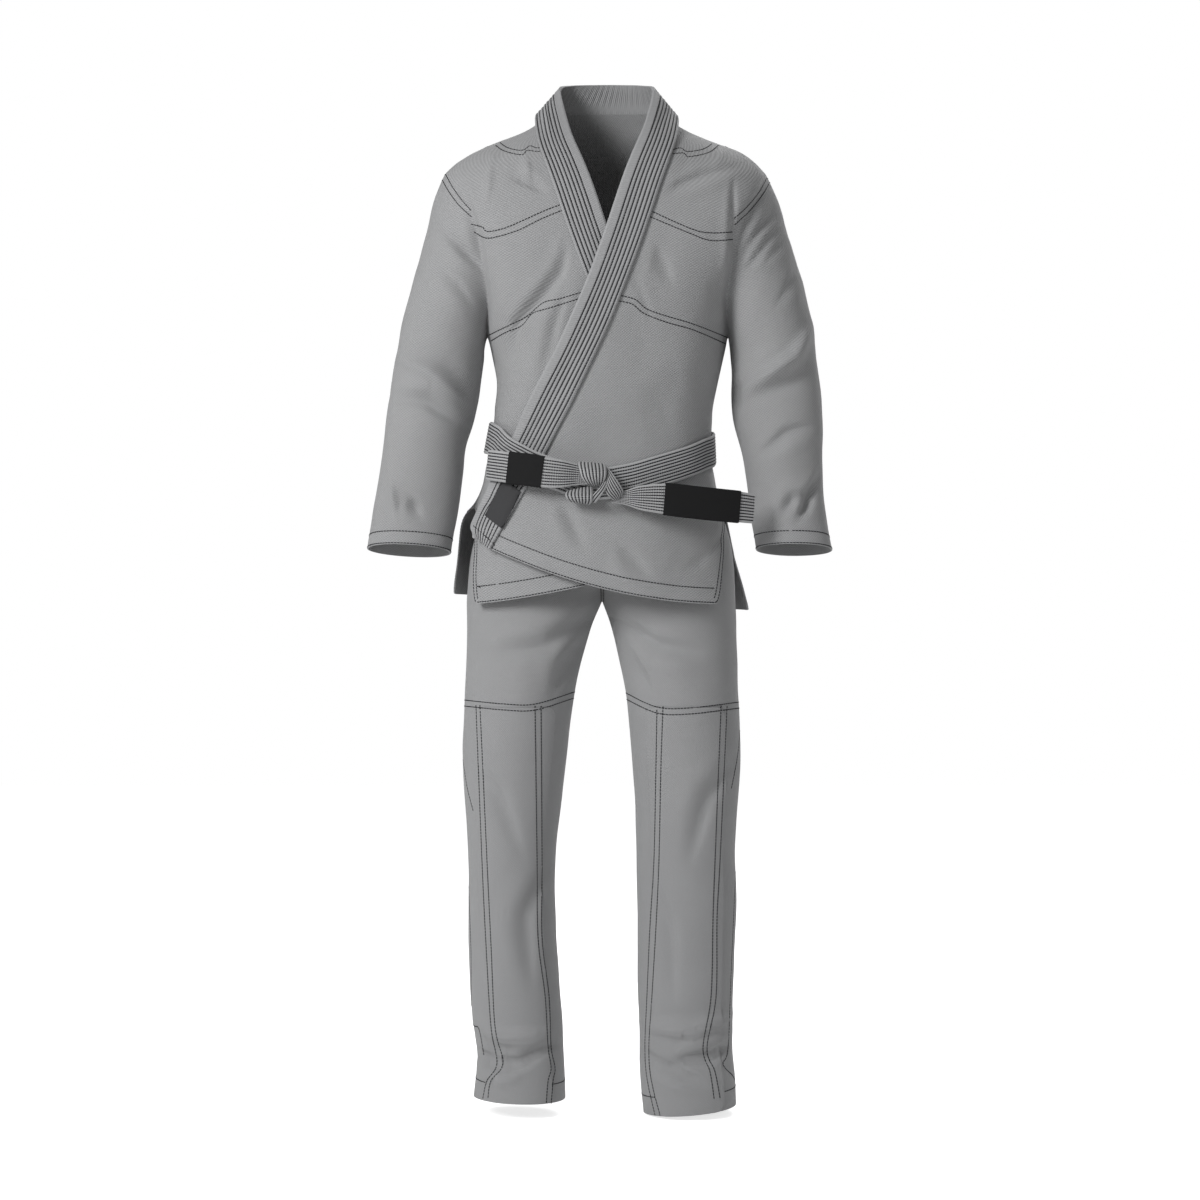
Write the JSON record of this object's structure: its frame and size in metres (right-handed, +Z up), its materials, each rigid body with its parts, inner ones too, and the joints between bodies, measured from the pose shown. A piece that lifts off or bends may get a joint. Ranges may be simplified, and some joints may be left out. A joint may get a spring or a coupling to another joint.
{
  "type": "jiu-jitsu gi",
  "caption": "Martial arts uniform filled out as if worn but empty: crossed wrap jacket with a stitched band collar, straight trousers with knee patches, and a knotted belt.",
  "frame": {"origin": "between the shoulders at the base of the neck, where the wearer carries the jacket", "axes": "+Z up, -Y the wearer's front, +X the wearer's left"},
  "size_m": [0.6585, 0.3106, 1.4708],
  "materials": {
    "jacket_cloth": "heavy pearl-weave cotton, mid grey",
    "band_cloth": "ribbed cotton band, mid grey, rows of dark stitching",
    "trouser_cloth": "plain cotton canvas, mid grey",
    "belt_cloth": "ribbed cotton belt, mid grey",
    "dark_cloth": "charcoal cotton, blank"
  },
  "bodies": {
    "root": {"jacket_back": "jacket_cloth", "jacket_front_left": "jacket_cloth", "jacket_front_right": "jacket_cloth", "sleeve_left": "jacket_cloth", "sleeve_right": "jacket_cloth", "lapel_collar": "band_cloth", "lapel_patch": "dark_cloth", "trouser_leg_left": "trouser_cloth", "trouser_leg_right": "trouser_cloth", "waistband": "trouser_cloth", "knee_patch_left": "trouser_cloth", "knee_patch_right": "trouser_cloth", "belt_wrap": "belt_cloth", "belt_knot": "belt_cloth", "belt_tail_left": "belt_cloth", "belt_tail_right": "belt_cloth", "belt_bar_left": "dark_cloth", "belt_bar_right": "dark_cloth"}
  },
  "joints": []
}
